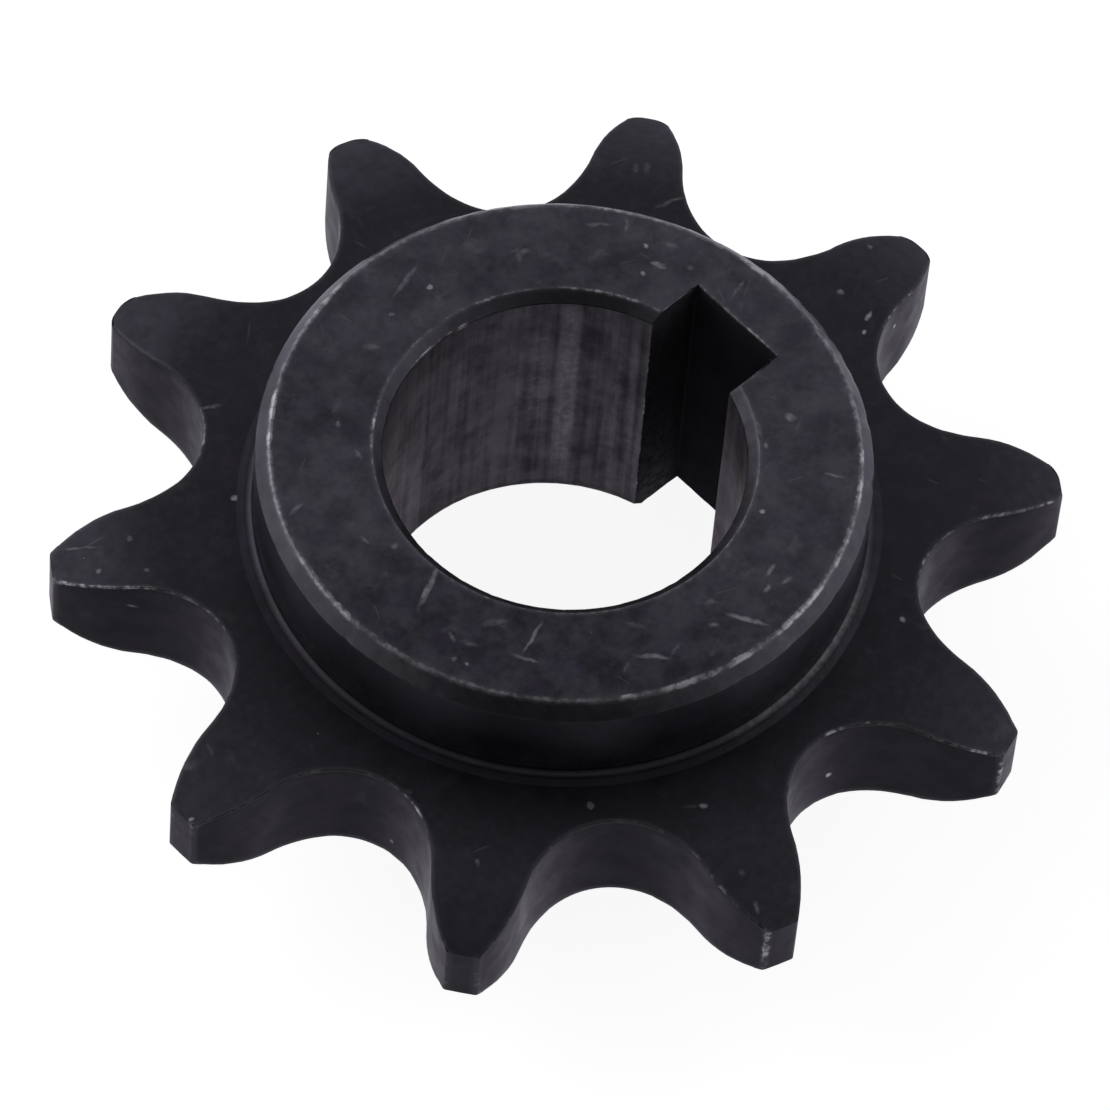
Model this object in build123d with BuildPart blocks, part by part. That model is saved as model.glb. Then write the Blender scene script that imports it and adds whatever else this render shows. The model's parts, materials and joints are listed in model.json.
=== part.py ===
from build123d import *
from math import acos, asin, cos, degrees, radians, sin
import os

# Roller chain sprocket, machined from one piece of steel: a toothed plate
# between two equal hubs, with a plain bore and one keyway cut right through.
# Millimetres and degrees. The origin is the centre of the bore on the rear
# hub's end face, +Z runs along the bore, and the keyway opens towards +Y.

# Chain that the teeth are cut for: half-inch pitch, 7.77 mm rollers
chain_pitch = 12.7
roller_diameter = 7.77
tooth_count = 10

# Tooth form, from the root outwards
seat_ratio = 0.505  # seating curve's radius, as a share of the roller's diameter
seat_angle = 56.0  # where the seating curve ends, below the line across the roller
working_radius = 5.4
working_angle = 30.0  # sweep of the working curve
tip_height = 2.7  # tip of the tooth above the pitch circle
tip_land = 1.5  # flat left across the top of each tooth
cutter_overrun = 1.0  # how far the gap's cutter runs out past the rim

# Plate, and the relief that thins both sides of the teeth towards their tips
plate_thickness = 5.8
relief_depth = 1.27
relief_radius = 10.3

# Hubs, one on each side of the plate
hub_diameter = 28.0
hub_height = 5.1
hub_chamfer_width = 0.6
hub_chamfer_depth = 0.8

# Where each hub meets the plate: a corner fillet on a low faced step
foot_fillet = 0.35
foot_step_width = 0.7
foot_step_height = 0.1

# Bore and keyway
bore_diameter = 16.5
bore_chamfer = 0.5
keyway_width = 5.0
keyway_depth = 2.3  # from the bore's wall to the keyway's floor

# Worked out from the sizes above
half_spacing = 180 / tooth_count  # from a gap's centre to a tooth's centre
pitch_radius = chain_pitch / (2 * sin(radians(half_spacing)))
seat_radius = seat_ratio * roller_diameter
root_radius = pitch_radius - seat_radius
outside_radius = pitch_radius + tip_height
tip_corner_angle = radians(half_spacing) - asin(tip_land / 2 / outside_radius)
tip_corner = (outside_radius * cos(tip_corner_angle), outside_radius * sin(tip_corner_angle))
clear_of_rim = outside_radius + cutter_overrun

hub_radius = hub_diameter / 2
bore_radius = bore_diameter / 2
foot_radius = hub_radius + foot_step_width
half_plate = plate_thickness / 2
half_foot = half_plate + foot_step_height
half_length = half_plate + hub_height
total_length = 2 * half_length

relief_sweep = degrees(acos(1 - relief_depth / relief_radius))
relief_start = outside_radius - relief_radius * sin(radians(relief_sweep))
keyway_reach = bore_radius + keyway_depth

# The plate's middle plane, and the half-section through the axis seen from -Y,
# where x is the distance from the axis and y the height over the middle plane
middle_plane = Plane.XY.offset(half_length)
section_plane = Plane(origin=(0, 0, half_length), x_dir=(1, 0, 0), z_dir=(0, -1, 0))

# One gap between two teeth, centred on +X: the seating, working and topping
# curves run tangent to each other down one side, and are mirrored to the other
with BuildSketch() as tooth_gap:
    with BuildLine():
        seating = JernArc((root_radius, 0), (0, 1), seat_radius, seat_angle - 90)
        working = JernArc(seating @ 1, seating % 1, working_radius, -working_angle)
        TangentArc(working @ 1, tip_corner, tangent=working % 1)
        Polyline(tip_corner, (clear_of_rim, tip_corner[1]), (clear_of_rim, 0))
        mirror(about=Plane.XZ)
    make_face()

with BuildPart() as sprocket:
    # The turned blank: bore, end chamfers, hub, foot and relieved rim
    with BuildSketch(section_plane):
        with BuildLine():
            Polyline(
                (bore_radius, 0),
                (bore_radius, half_length - bore_chamfer),
                (bore_radius + bore_chamfer, half_length),
                (hub_radius - hub_chamfer_width, half_length),
                (hub_radius, half_length - hub_chamfer_depth),
                (hub_radius, half_foot + foot_fillet),
            )
            foot = RadiusArc(
                (hub_radius, half_foot + foot_fillet),
                (hub_radius + foot_fillet, half_foot),
                foot_fillet,
            )
            Polyline(
                foot @ 1,
                (foot_radius, half_foot),
                (foot_radius, half_plate),
                (relief_start, half_plate),
            )
            relief = JernArc((relief_start, half_plate), (1, 0), relief_radius, -relief_sweep)
            Line(relief @ 1, (outside_radius, 0))
            mirror(about=Plane.XZ)
        make_face()
    revolve(axis=Axis.Z)

    # The gaps between the teeth
    with BuildSketch(middle_plane):
        with PolarLocations(0, tooth_count):
            add(tooth_gap.sketch)
    extrude(amount=half_foot, both=True, mode=Mode.SUBTRACT)

    # The keyway, broached along the whole bore
    with BuildSketch():
        with Locations((0, keyway_reach / 2)):
            Rectangle(keyway_width, keyway_reach)
    extrude(amount=total_length, mode=Mode.SUBTRACT)

os.makedirs("parts", exist_ok=True)
sprocket.part.label = "sprocket"
export_step(sprocket.part, "parts/sprocket.step")
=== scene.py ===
"""Dresses the one-piece roller chain sprocket: fine mesh, steel finishes, stage, light and camera.

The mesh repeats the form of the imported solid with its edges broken, as a machinist leaves them.
The sprocket's and the camera's lengths are millimetres and the studio's are metres. Angles are
degrees, unless a docstring says otherwise.
"""

import json
import logging
from collections.abc import Iterator
from dataclasses import dataclass
from enum import Enum
from functools import partial
from math import acos, asin, atan2, cos, hypot, pi, radians, sin, sqrt

import bmesh
import bpy
from mathutils import Matrix, Vector, noise

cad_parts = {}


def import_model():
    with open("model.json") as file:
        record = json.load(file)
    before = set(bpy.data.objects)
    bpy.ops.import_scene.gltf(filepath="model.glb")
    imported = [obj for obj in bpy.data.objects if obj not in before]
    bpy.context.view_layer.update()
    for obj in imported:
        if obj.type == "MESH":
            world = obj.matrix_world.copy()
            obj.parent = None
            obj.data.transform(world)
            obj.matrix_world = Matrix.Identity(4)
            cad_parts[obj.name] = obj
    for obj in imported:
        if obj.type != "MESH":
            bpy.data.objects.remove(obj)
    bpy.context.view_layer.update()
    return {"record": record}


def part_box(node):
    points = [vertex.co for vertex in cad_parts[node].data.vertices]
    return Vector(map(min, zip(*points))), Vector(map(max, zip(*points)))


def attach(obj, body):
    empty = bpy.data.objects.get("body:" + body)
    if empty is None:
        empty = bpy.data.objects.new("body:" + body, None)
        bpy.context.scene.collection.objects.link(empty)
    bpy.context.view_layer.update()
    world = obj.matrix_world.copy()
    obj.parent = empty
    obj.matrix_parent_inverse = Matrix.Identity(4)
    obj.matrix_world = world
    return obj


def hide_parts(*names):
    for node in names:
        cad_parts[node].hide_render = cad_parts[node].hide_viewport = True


Loop = list[tuple[float, float]]
Feed = bpy.types.Node | bpy.types.NodeSocket

LOG = logging.getLogger("sprocket")
MM = 0.001
NODE = "sprocket"
BODY = "root"
PIECE = "sprocket_steel"
WEAR = "wear"
WHITE = (1.0, 1.0, 1.0, 1.0)
EASED = {"interpolation_type": "SMOOTHSTEP"}


def linear(hex_colour: str) -> tuple[float, float, float, float]:
    """Turns an sRGB hex colour into the linear colour that shaders take.

    Args:
        hex_colour: Six hex digits, such as "2e2d32".

    Returns:
        Linear red, green and blue, and an alpha of 1.
    """
    channels = [int(hex_colour[k : k + 2], 16) / 255 for k in (0, 2, 4)]
    red, green, blue = [c / 12.92 if c <= 0.04045 else ((c + 0.055) / 1.055) ** 2.4 for c in channels]
    return red, green, blue, 1.0


def add_node(tree: bpy.types.NodeTree, kind: str, inputs: dict | None = None, **settings) -> bpy.types.Node:
    """Adds a shader node to a tree, with its settings and links.

    Args:
        tree: The node tree that takes it.
        kind: The node's type without its "ShaderNode", such as "Mix".
        inputs: Socket name or number to a value, or to what feeds it. A node feeds from its first output.
        settings: Properties of the node itself.

    Returns:
        The new node.
    """
    node = tree.nodes.new("ShaderNode" + kind)
    for name, value in settings.items():
        setattr(node, name, value)
    for key, value in (inputs or {}).items():
        feed = value.outputs[0] if isinstance(value, bpy.types.Node) else value
        if isinstance(feed, bpy.types.NodeSocket):
            tree.links.new(feed, node.inputs[key])
        else:
            node.inputs[key].default_value = feed
    return node


def link_object(name: str, data: bpy.types.ID) -> bpy.types.Object:
    """Makes an object at the origin and links it to the scene.

    Args:
        name: The object's name.
        data: Its mesh, lamp or camera.

    Returns:
        The new object.
    """
    item = bpy.data.objects.new(name, data)
    bpy.context.scene.collection.objects.link(item)
    return item


def direction(azimuth: float, elevation: float) -> Vector:
    """Gives the direction of an azimuth, counted from -Y towards +X, and an elevation."""
    a, e = radians(azimuth), radians(elevation)
    return Vector((sin(a) * cos(e), -cos(a) * cos(e), sin(e)))


def polar(radius: float, angle: float, centre: tuple[float, float] = (0.0, 0.0)) -> tuple[float, float]:
    """Gives the point at a radius and an angle in radians from a centre."""
    return centre[0] + radius * cos(angle), centre[1] + radius * sin(angle)


def turned(x: float, y: float, angle: float) -> tuple[float, float]:
    """Turns a point about the origin by an angle in radians."""
    return x * cos(angle) - y * sin(angle), x * sin(angle) + y * cos(angle)


def blended(first: Loop, second: Loop, share: float) -> Loop:
    """Blends two loops station by station, from the first at a share of 0 to the second at 1."""
    return [(a[0] + (b[0] - a[0]) * share, a[1] + (b[1] - a[1]) * share) for a, b in zip(first, second)]


class Surface(Enum):
    """Where on the sprocket a finish lies. The value is the material slot's number."""

    FLANK = 0
    PLATE = 1
    FOOT = 2
    HUB_WALL = 3
    HUB_CHAMFER = 4
    HUB_FACE = 5
    BORE_CHAMFER = 6
    BORE = 7
    KEYWAY = 8
    FILLET = 9


@dataclass(frozen=True)
class ToothForm:
    """The toothed outline: seating, working and topping curves, and the tip's land.

    Stations are points round the outline that every other loop of the mesh matches one for one.
    """

    teeth: int
    pitch_radius: float
    outside_radius: float
    roller_diameter: float = 7.77
    seat_ratio: float = 0.505
    seat_angle: float = 56.0
    working_radius: float = 5.4
    working_angle: float = 30.0
    tip_land: float = 1.5
    curve_steps: int = 8
    land_steps: int = 1

    @property
    def seat_radius(self) -> float:
        """Radius of the curve that the chain's roller sits in."""
        return self.seat_ratio * self.roller_diameter

    @property
    def half_spacing(self) -> float:
        """Angle from a gap's centre to a tooth's centre, in radians."""
        return pi / self.teeth

    @property
    def stations(self) -> int:
        """How many stations go round the outline."""
        return 2 * self.teeth * (3 * self.curve_steps + self.land_steps)

    def half_gap(self, inset: float) -> Loop:
        """Traces half a gap centred on +X, from its root to the middle of the next tooth.

        Args:
            inset: How far the line is drawn back into the metal.

        Returns:
            Points in the plate's plane.
        """
        seat_end = pi - radians(90 - self.seat_angle)
        working_end = seat_end - radians(self.working_angle)
        offset = self.working_radius - self.seat_radius
        working_centre = (self.pitch_radius - offset * cos(seat_end), -offset * sin(seat_end))
        lead = (cos(working_end), sin(working_end))
        join = [c + self.working_radius * d for c, d in zip(working_centre, lead)]
        corner_angle = self.half_spacing - asin(self.tip_land / 2 / self.outside_radius)
        chord = [a - b for a, b in zip(polar(self.outside_radius, corner_angle), join)]
        reach = chord[0] * lead[0] + chord[1] * lead[1]
        topping_radius = (chord[0] ** 2 + chord[1] ** 2) / (2 * reach)
        topping_centre = [a + topping_radius * d for a, d in zip(join, lead)]

        rim, crest = self.outside_radius - inset, topping_radius - inset
        far = hypot(*topping_centre)
        bearing = atan2(topping_centre[1], topping_centre[0])
        rim_angle = bearing - acos((far**2 + rim**2 - crest**2) / (2 * far * rim))
        last = atan2(rim * sin(rim_angle) - topping_centre[1], rim * cos(rim_angle) - topping_centre[0])
        first = working_end - pi

        arcs = (
            ((self.pitch_radius, 0.0), self.seat_radius + inset, pi, seat_end),
            (working_centre, self.working_radius + inset, seat_end, working_end),
            (topping_centre, crest, first, last),
        )
        points = [(self.pitch_radius - self.seat_radius - inset, 0.0)]
        for centre, radius, start, end in arcs:
            for step in range(1, self.curve_steps + 1):
                angle = start + (end - start) * step / self.curve_steps
                points.append(polar(radius, angle, centre))
        for step in range(1, self.land_steps + 1):
            angle = rim_angle + (self.half_spacing - rim_angle) * step / self.land_steps
            points.append(polar(rim, angle))
        return points

    def outline(self, inset: float = 0.0) -> Loop:
        """Traces the whole toothed outline, from the root on +X and anticlockwise.

        Args:
            inset: How far the line is drawn back into the metal.

        Returns:
            One point for each station.
        """
        half = self.half_gap(inset)
        loop = []
        for gap in range(self.teeth):
            here, beyond = 2 * self.half_spacing * gap, 2 * self.half_spacing * (gap + 1)
            loop += [turned(x, y, here) for x, y in half[:-1]]
            loop += [turned(x, -y, beyond) for x, y in half[:0:-1]]
        return loop

    def circle(self, radius: float) -> Loop:
        """Spaces the stations evenly round a circle."""
        return [polar(radius, 2 * pi * k / self.stations) for k in range(self.stations)]


@dataclass(frozen=True)
class KeyedBore:
    """The bore with its keyway towards +Y. The keyway takes the stations of one tooth."""

    form: ToothForm
    radius: float
    keyway_width: float = 5.0
    keyway_depth: float = 2.3
    side_opening: float = 0.25
    floor_opening: float = 0.15

    @property
    def spacing(self) -> int:
        """How many stations one tooth has."""
        return self.form.stations // self.form.teeth

    @property
    def start(self) -> int:
        """The keyway's first station. A quarter of the way round lies its middle."""
        return self.form.stations // 4 - self.spacing // 2

    def in_keyway(self, station: int) -> bool:
        """Says whether the band that starts at this station belongs to the keyway."""
        return self.start <= station < self.start + self.spacing

    def outline(self, radius: float, opened: float = 0.0) -> Loop:
        """Traces the bore at a given radius, and the keyway's three walls.

        Args:
            radius: Radius of the round part, which is larger in the chamfers.
            opened: 1 at the end faces, where two of the keyway's edges are filed back, otherwise 0.

        Returns:
            One point for each station.
        """
        total, spacing = self.form.stations, self.spacing
        left = -self.keyway_width / 2
        right = self.keyway_width / 2 + self.side_opening * opened
        floor = self.radius + self.keyway_depth + self.floor_opening * opened
        right_mouth, left_mouth = asin(right / radius), asin(-left / radius)
        wall_steps = spacing // 4
        floor_steps = spacing - 2 * wall_steps
        loop = [(0.0, 0.0)] * total
        for step in range(spacing + 1):
            if step <= wall_steps:
                low = radius * cos(right_mouth)
                point = (right, low + (floor - low) * step / wall_steps)
            elif step <= wall_steps + floor_steps:
                point = (right + (left - right) * (step - wall_steps) / floor_steps, floor)
            else:
                low = radius * cos(left_mouth)
                point = (left, low + (floor - low) * (spacing - step) / wall_steps)
            loop[self.start + step] = point
        round_steps = total - spacing
        for step in range(1, round_steps):
            angle = pi / 2 + left_mouth + (2 * pi - left_mouth - right_mouth) * step / round_steps
            loop[(self.start + spacing + step) % total] = polar(radius, angle)
        return loop


@dataclass(frozen=True)
class Row:
    """One loop of the mesh, with its heights over the plate's middle plane."""

    loop: Loop
    heights: list[float]
    surface: Surface


@dataclass(frozen=True)
class EdgeBreak:
    """How far the sharp edges between two radii are broken, and how much wear and unevenness they carry.

    A side other than (0, 0) is a direction in the plate's plane. Only the edges that lie further than
    side_reach in that direction are broken.
    """

    inner: float
    outer: float
    width: float
    wear: float
    unevenness: float
    upright: bool = False
    segments: int = 3
    side: tuple[float, float] = (0.0, 0.0)
    side_reach: float = 5.0
    chips: float = 0.0

    def holds(self, spot: Vector) -> bool:
        """Says whether a spot lies to this rule's side."""
        return self.side == (0.0, 0.0) or spot.x * self.side[0] + spot.y * self.side[1] > self.side_reach


@dataclass(frozen=True)
class Sprocket:
    """The one-piece sprocket, meshed as loops from the tooth gaps over the hub and down the bore.

    Shares say where the rows of a surface lie on their way across it. The lean is how far apart in plan
    the ends of an upright edge may be, and vertices that are closer than the weld are one.
    """

    form: ToothForm
    bore: KeyedBore
    length: float
    plate_thickness: float = 5.8
    relief_depth: float = 1.27
    relief_radius: float = 10.3
    hub_radius: float = 14.0
    hub_chamfer_width: float = 0.6
    hub_chamfer_depth: float = 0.8
    foot_fillet: float = 0.35
    foot_fillet_rise: float = 0.24
    foot_step_width: float = 0.7
    foot_step_height: float = 0.1
    foot_step_slope: float = 0.28
    bore_chamfer: float = 0.5
    edge_rows: tuple[float, ...] = (0.22, 0.5)
    plate_steps: int = 13
    fillet_steps: int = 5
    foot_margins: tuple[float, ...] = (0.3, 0.06, 0.0)
    flank_shares: tuple[float, ...] = (0.0, 0.3, 0.6, 0.86, 1.0)
    wall_shares: tuple[float, ...] = (0.08, 0.36, 0.64, 0.92, 1.0)
    chamfer_shares: tuple[float, ...] = (0.25, 0.75, 1.0)
    face_shares: tuple[float, ...] = (0.05, 0.15, 0.28, 0.42, 0.57, 0.72, 0.86, 0.95, 1.0)
    bore_shares: tuple[float, ...] = (0.03, 0.2, 0.4, 0.6, 0.8, 1.0)
    breaks: tuple[EdgeBreak, ...] = (
        EdgeBreak(20.0, 30.0, 0.5, 0.1, 0.0, upright=True, segments=5, side=(-0.67, 0.74)),
        EdgeBreak(20.0, 30.0, 0.1, 0.75, 0.0, upright=True),
        EdgeBreak(15.5, 30.0, 0.045, 0.8, 0.035),
        EdgeBreak(13.7, 14.2, 0.05, 0.1, 0.03, chips=0.15),
        EdgeBreak(12.0, 13.7, 0.08, 1.0, 0.04, chips=0.2),
        EdgeBreak(0.0, 12.0, 0.045, 0.8, 0.03),
    )
    unevenness_size: float = 0.5
    chip_spacing: float = 0.9
    chip_level: float = 0.25
    wear_reach: float = 0.28
    wear_passes: int = 3
    weld: float = 0.001
    lean: float = 0.01
    sharp_angle: float = 22.0
    crease_angle: float = 40.0
    shading_weight: int = 60

    def relief(self, radius: float) -> float:
        """Works out the turned relief of the teeth.

        Args:
            radius: Distance from the sprocket's axis.

        Returns:
            How far the relief lies below the plate's face.
        """
        drop = self.relief_radius - self.relief_depth
        start = self.form.outside_radius - sqrt(self.relief_radius**2 - drop**2)
        past = max(0.0, radius - start)
        return self.relief_radius - sqrt(self.relief_radius**2 - past**2)

    def on_plate(self, loop: Loop) -> Row:
        """Makes a row that follows the plate's face."""
        heights = [self.plate_thickness / 2 - self.relief(hypot(x, y)) for x, y in loop]
        return Row(loop, heights, Surface.PLATE)

    def level(self, loop: Loop, height: float, surface: Surface) -> Row:
        """Makes a row whose stations all lie at one height."""
        return Row(loop, [height] * len(loop), surface)

    def plate_rows(self) -> Iterator[Row]:
        """Lays the rows from the middle of the tooth walls to the hub's foot.

        Returns:
            The rows in order.
        """
        outline = self.form.outline()
        top = self.on_plate(outline).heights
        for share in self.flank_shares:
            yield Row(outline, [share * height for height in top], Surface.FLANK)
        for inset in self.edge_rows:
            loop = self.form.outline(inset)
            yield self.on_plate(loop)
        foot = self.hub_radius + self.foot_step_width
        ring = self.form.circle(foot + self.foot_margins[0])
        for step in range(1, self.plate_steps + 1):
            yield self.on_plate(blended(loop, ring, step / self.plate_steps))
        for margin in self.foot_margins[1:]:
            yield self.level(self.form.circle(foot + margin), self.plate_thickness / 2, Surface.PLATE)

    def hub_rows(self) -> Iterator[Row]:
        """Lays the rows from the low step at the hub's foot to the edge of its end face.

        Returns:
            The rows in order.
        """
        wall, foot = self.hub_radius, self.plate_thickness / 2 + self.foot_step_height
        low, high = foot + self.foot_fillet_rise, self.length / 2 - self.hub_chamfer_depth
        profile = [(wall + self.foot_step_width - self.foot_step_slope, foot, Surface.FOOT)]
        profile += [(wall + self.foot_fillet, foot, Surface.FOOT)]
        for step in range(1, self.fillet_steps + 1):
            angle = radians(90) * step / self.fillet_steps
            height = foot + self.foot_fillet_rise * (1 - cos(angle))
            radius = wall + self.foot_fillet - self.foot_fillet * sin(angle)
            profile.append((radius, height, Surface.FILLET))
        for share in self.wall_shares:
            profile.append((wall, low + (high - low) * share, Surface.HUB_WALL))
        for share in self.chamfer_shares:
            height = high + self.hub_chamfer_depth * share
            profile.append((wall - self.hub_chamfer_width * share, height, Surface.HUB_CHAMFER))
        for radius, height, surface in profile:
            yield self.level(self.form.circle(radius), height, surface)

    def bore_rows(self) -> Iterator[Row]:
        """Lays the rows across the end face and down the bore to the middle plane.

        Returns:
            The rows in order.
        """
        half_length = self.length / 2
        rim = self.form.circle(self.hub_radius - self.hub_chamfer_width)
        mouth = self.bore.outline(self.bore.radius + self.bore_chamfer, 1.0)
        for share in self.face_shares:
            yield self.level(blended(rim, mouth, share), half_length, Surface.HUB_FACE)
        wall = self.bore.outline(self.bore.radius)
        for share in self.chamfer_shares:
            loop = blended(mouth, wall, share)
            yield self.level(loop, half_length - self.bore_chamfer * share, Surface.BORE_CHAMFER)
        for share in self.bore_shares:
            yield self.level(wall, (half_length - self.bore_chamfer) * (1 - share), Surface.BORE)

    def front_half(self, bm: bmesh.types.BMesh) -> None:
        """Extrudes the front half row by row from a ring of edges in the middle plane.

        Args:
            bm: An empty bmesh that takes the shell.
        """
        station = bm.verts.layers.int.new("station")
        rows = [*self.plate_rows(), *self.hub_rows(), *self.bore_rows()]
        ring = [bm.verts.new((x, y, 0.0)) for x, y in rows[0].loop]
        for number, vert in enumerate(ring):
            vert[station] = number
        edges = [bm.edges.new((a, b)) for a, b in zip(ring, ring[1:] + ring[:1])]
        for row in rows[1:]:
            made = bmesh.ops.extrude_edge_only(bm, edges=edges)["geom"]
            edges = [part for part in made if isinstance(part, bmesh.types.BMEdge)]
            for vert in (part for part in made if isinstance(part, bmesh.types.BMVert)):
                number = vert[station]
                vert.co = (*row.loop[number], row.heights[number])
            for edge in edges:
                for face in edge.link_faces:
                    first = min(vert[station] for vert in edge.verts)
                    inside = row.surface in (Surface.BORE, Surface.BORE_CHAMFER)
                    keyed = inside and self.bore.in_keyway(first)
                    face.material_index = (Surface.KEYWAY if keyed else row.surface).value

    def break_edges(self, bm: bmesh.types.BMesh) -> None:
        """Bevels every sharp outer edge, and gives its vertices their wear.

        Args:
            bm: The closed shell.
        """
        wear = bm.verts.layers.float.new(WEAR)
        for rule in self.breaks:
            bm.normal_update()
            sharp = [
                edge
                for edge in bm.edges
                if edge.is_manifold
                and edge.calc_face_angle_signed() > radians(self.sharp_angle)
                and all(rule.inner < hypot(vert.co.x, vert.co.y) <= rule.outer for vert in edge.verts)
                and not any(vert[wear] for vert in edge.verts)
                and (not rule.upright or (edge.verts[0].co.xy - edge.verts[1].co.xy).length < self.lean)
                and rule.holds(edge.verts[0].co)
            ]
            made = bmesh.ops.bevel(
                bm, geom=sharp, affect="EDGES", offset=rule.width, offset_type="OFFSET",
                segments=rule.segments, profile=0.5, clamp_overlap=False, material=-1,
            )
            for vert in {vert for face in made["faces"] for vert in face.verts}:
                vert[wear] = rule.wear
                bump = noise.noise(vert.co / self.unevenness_size)
                chip = noise.noise(vert.co / self.chip_spacing) - self.chip_level
                vert.co -= vert.normal * (max(0.0, bump) * rule.unevenness + max(0.0, chip) * rule.chips)
                vert.co.z = max(-self.length / 2, min(self.length / 2, vert.co.z))
            LOG.info("broke %d sharp edges by %.3f mm", len(sharp), rule.width)

    def spread_wear(self, bm: bmesh.types.BMesh) -> None:
        """Lets the wear fade over the faces beside each broken edge.

        Args:
            bm: The closed shell, with its edges broken.
        """
        wear = bm.verts.layers.float[WEAR]
        for _ in range(self.wear_passes):
            for edge in bm.edges:
                kept = 1 - edge.calc_length() / self.wear_reach
                if kept > 0:
                    first, second = edge.verts
                    first[wear] = max(first[wear], second[wear] * kept)
                    second[wear] = max(second[wear], first[wear] * kept)

    def mesh(self) -> bpy.types.Mesh:
        """Builds the closed mesh in metres, standing on its rear hub.

        Returns:
            The finished mesh, with no materials.
        """
        bm = bmesh.new()
        self.front_half(bm)
        everything = bm.verts[:] + bm.edges[:] + bm.faces[:]
        bmesh.ops.mirror(bm, geom=everything, axis="Z", merge_dist=self.weld)
        bmesh.ops.remove_doubles(bm, verts=bm.verts, dist=self.weld)
        bmesh.ops.recalc_face_normals(bm, faces=bm.faces)
        self.break_edges(bm)
        self.spread_wear(bm)
        bmesh.ops.translate(bm, verts=bm.verts, vec=(0, 0, self.length / 2))
        bmesh.ops.scale(bm, verts=bm.verts, vec=(MM, MM, MM))
        bmesh.ops.recalc_face_normals(bm, faces=bm.faces)
        for face in bm.faces:
            face.smooth = True
        for edge in bm.edges:
            edge.smooth = edge.calc_face_angle() < radians(self.crease_angle)
        mesh = bpy.data.meshes.new(PIECE)
        bm.to_mesh(mesh)
        bm.free()
        return mesh

    def build(self) -> bpy.types.Object:
        """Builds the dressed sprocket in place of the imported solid.

        Returns:
            The sprocket's object.
        """
        item = link_object(PIECE, self.mesh())
        for surface in Surface:
            item.data.materials.append(FINISHES[surface].build())
        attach(item, BODY)
        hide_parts(NODE)
        weighted = item.modifiers.new("weighted_normals", "WEIGHTED_NORMAL")
        weighted.keep_sharp = True
        weighted.weight = self.shading_weight
        return item


@dataclass(frozen=True)
class Mark:
    """One scratch, dent, stain, rubbed place, painted shade or painted highlight, drawn as a slim ellipse.

    Its height is its middle's, over the rear hub's end face, and its depth is how much height it covers.
    """

    x: float
    y: float
    angle: float
    length: float
    width: float
    strength: float = 1.0
    height: float = 16.0
    depth: float = 3.0


@dataclass(frozen=True)
class ToolMarks:
    """Marks left by a cutting tool: their spacing, how they are drawn out, and how dark they are."""

    size: float
    squeeze: tuple[float, float, float]
    strength: float


@dataclass(frozen=True)
class Patches:
    """Soft patches: the noise levels where one begins and is full, and how far apart they are.

    The seed moves the pattern, so that no two are alike. The detail is how many finer layers it has. The
    size is left out where each finish gives its own.
    """

    low: float
    high: float
    seed: float
    detail: float = 3.0
    size: float = 1.0
    roughness: float = 0.6


OXIDE = Patches(0.34, 0.66, 1.0, 4.0)
GRAIN = Patches(0.2, 0.8, 2.0, 2.0)
SCUFFS = Patches(0.58, 0.74, 9.0, 6.0)
TINGE = Patches(0.45, 0.7, 41.0, 4.0, 1.1)
EDGE_STRETCHES = Patches(0.3, 0.65, 3.0, 3.0, 1.6)
EDGE_FRAYS = Patches(0.3, 0.7, 4.0, 3.0, 0.4)
MARK_BREAKS = Patches(0.3, 0.7, 13.0, 2.0, 0.3)
SHEEN = Patches(0.2, 0.8, 21.0, 3.0, 1.3)
PITS = Patches(0.0, 1.0, 31.0, 2.0, 0.22)

# Limits for a Map Range node, by its sockets: it reads from 1 to 2 and gives 3 to 4.
MARK_RIM = {1: 1.35, 2: 0.35}
HAIRLINE_RIM = {1: 0.5, 2: 0.15}
NICK_CHANCE = {1: 0.35}
TOOL_LINES = {1: 0.3, 2: 0.7}
STRETCH_LEVELS = {3: 0.3}
RUBBED_LEVELS = {2: 0.9, 4: 1.3}
FRAY_LEVELS = {1: 0.1, 2: 0.9, 3: 0.4, 4: 1.2}
BARE_LINE = {1: 0.66, 2: 1.12}
DULL_FRINGE = {1: 0.2, 2: 0.8}
BREAK_LEVELS = {3: 0.4}
ROOM_FADE = {1: 0.0, 2: 1.05}
CEILING_FADE = {1: 0.35, 2: 0.95}


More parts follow.
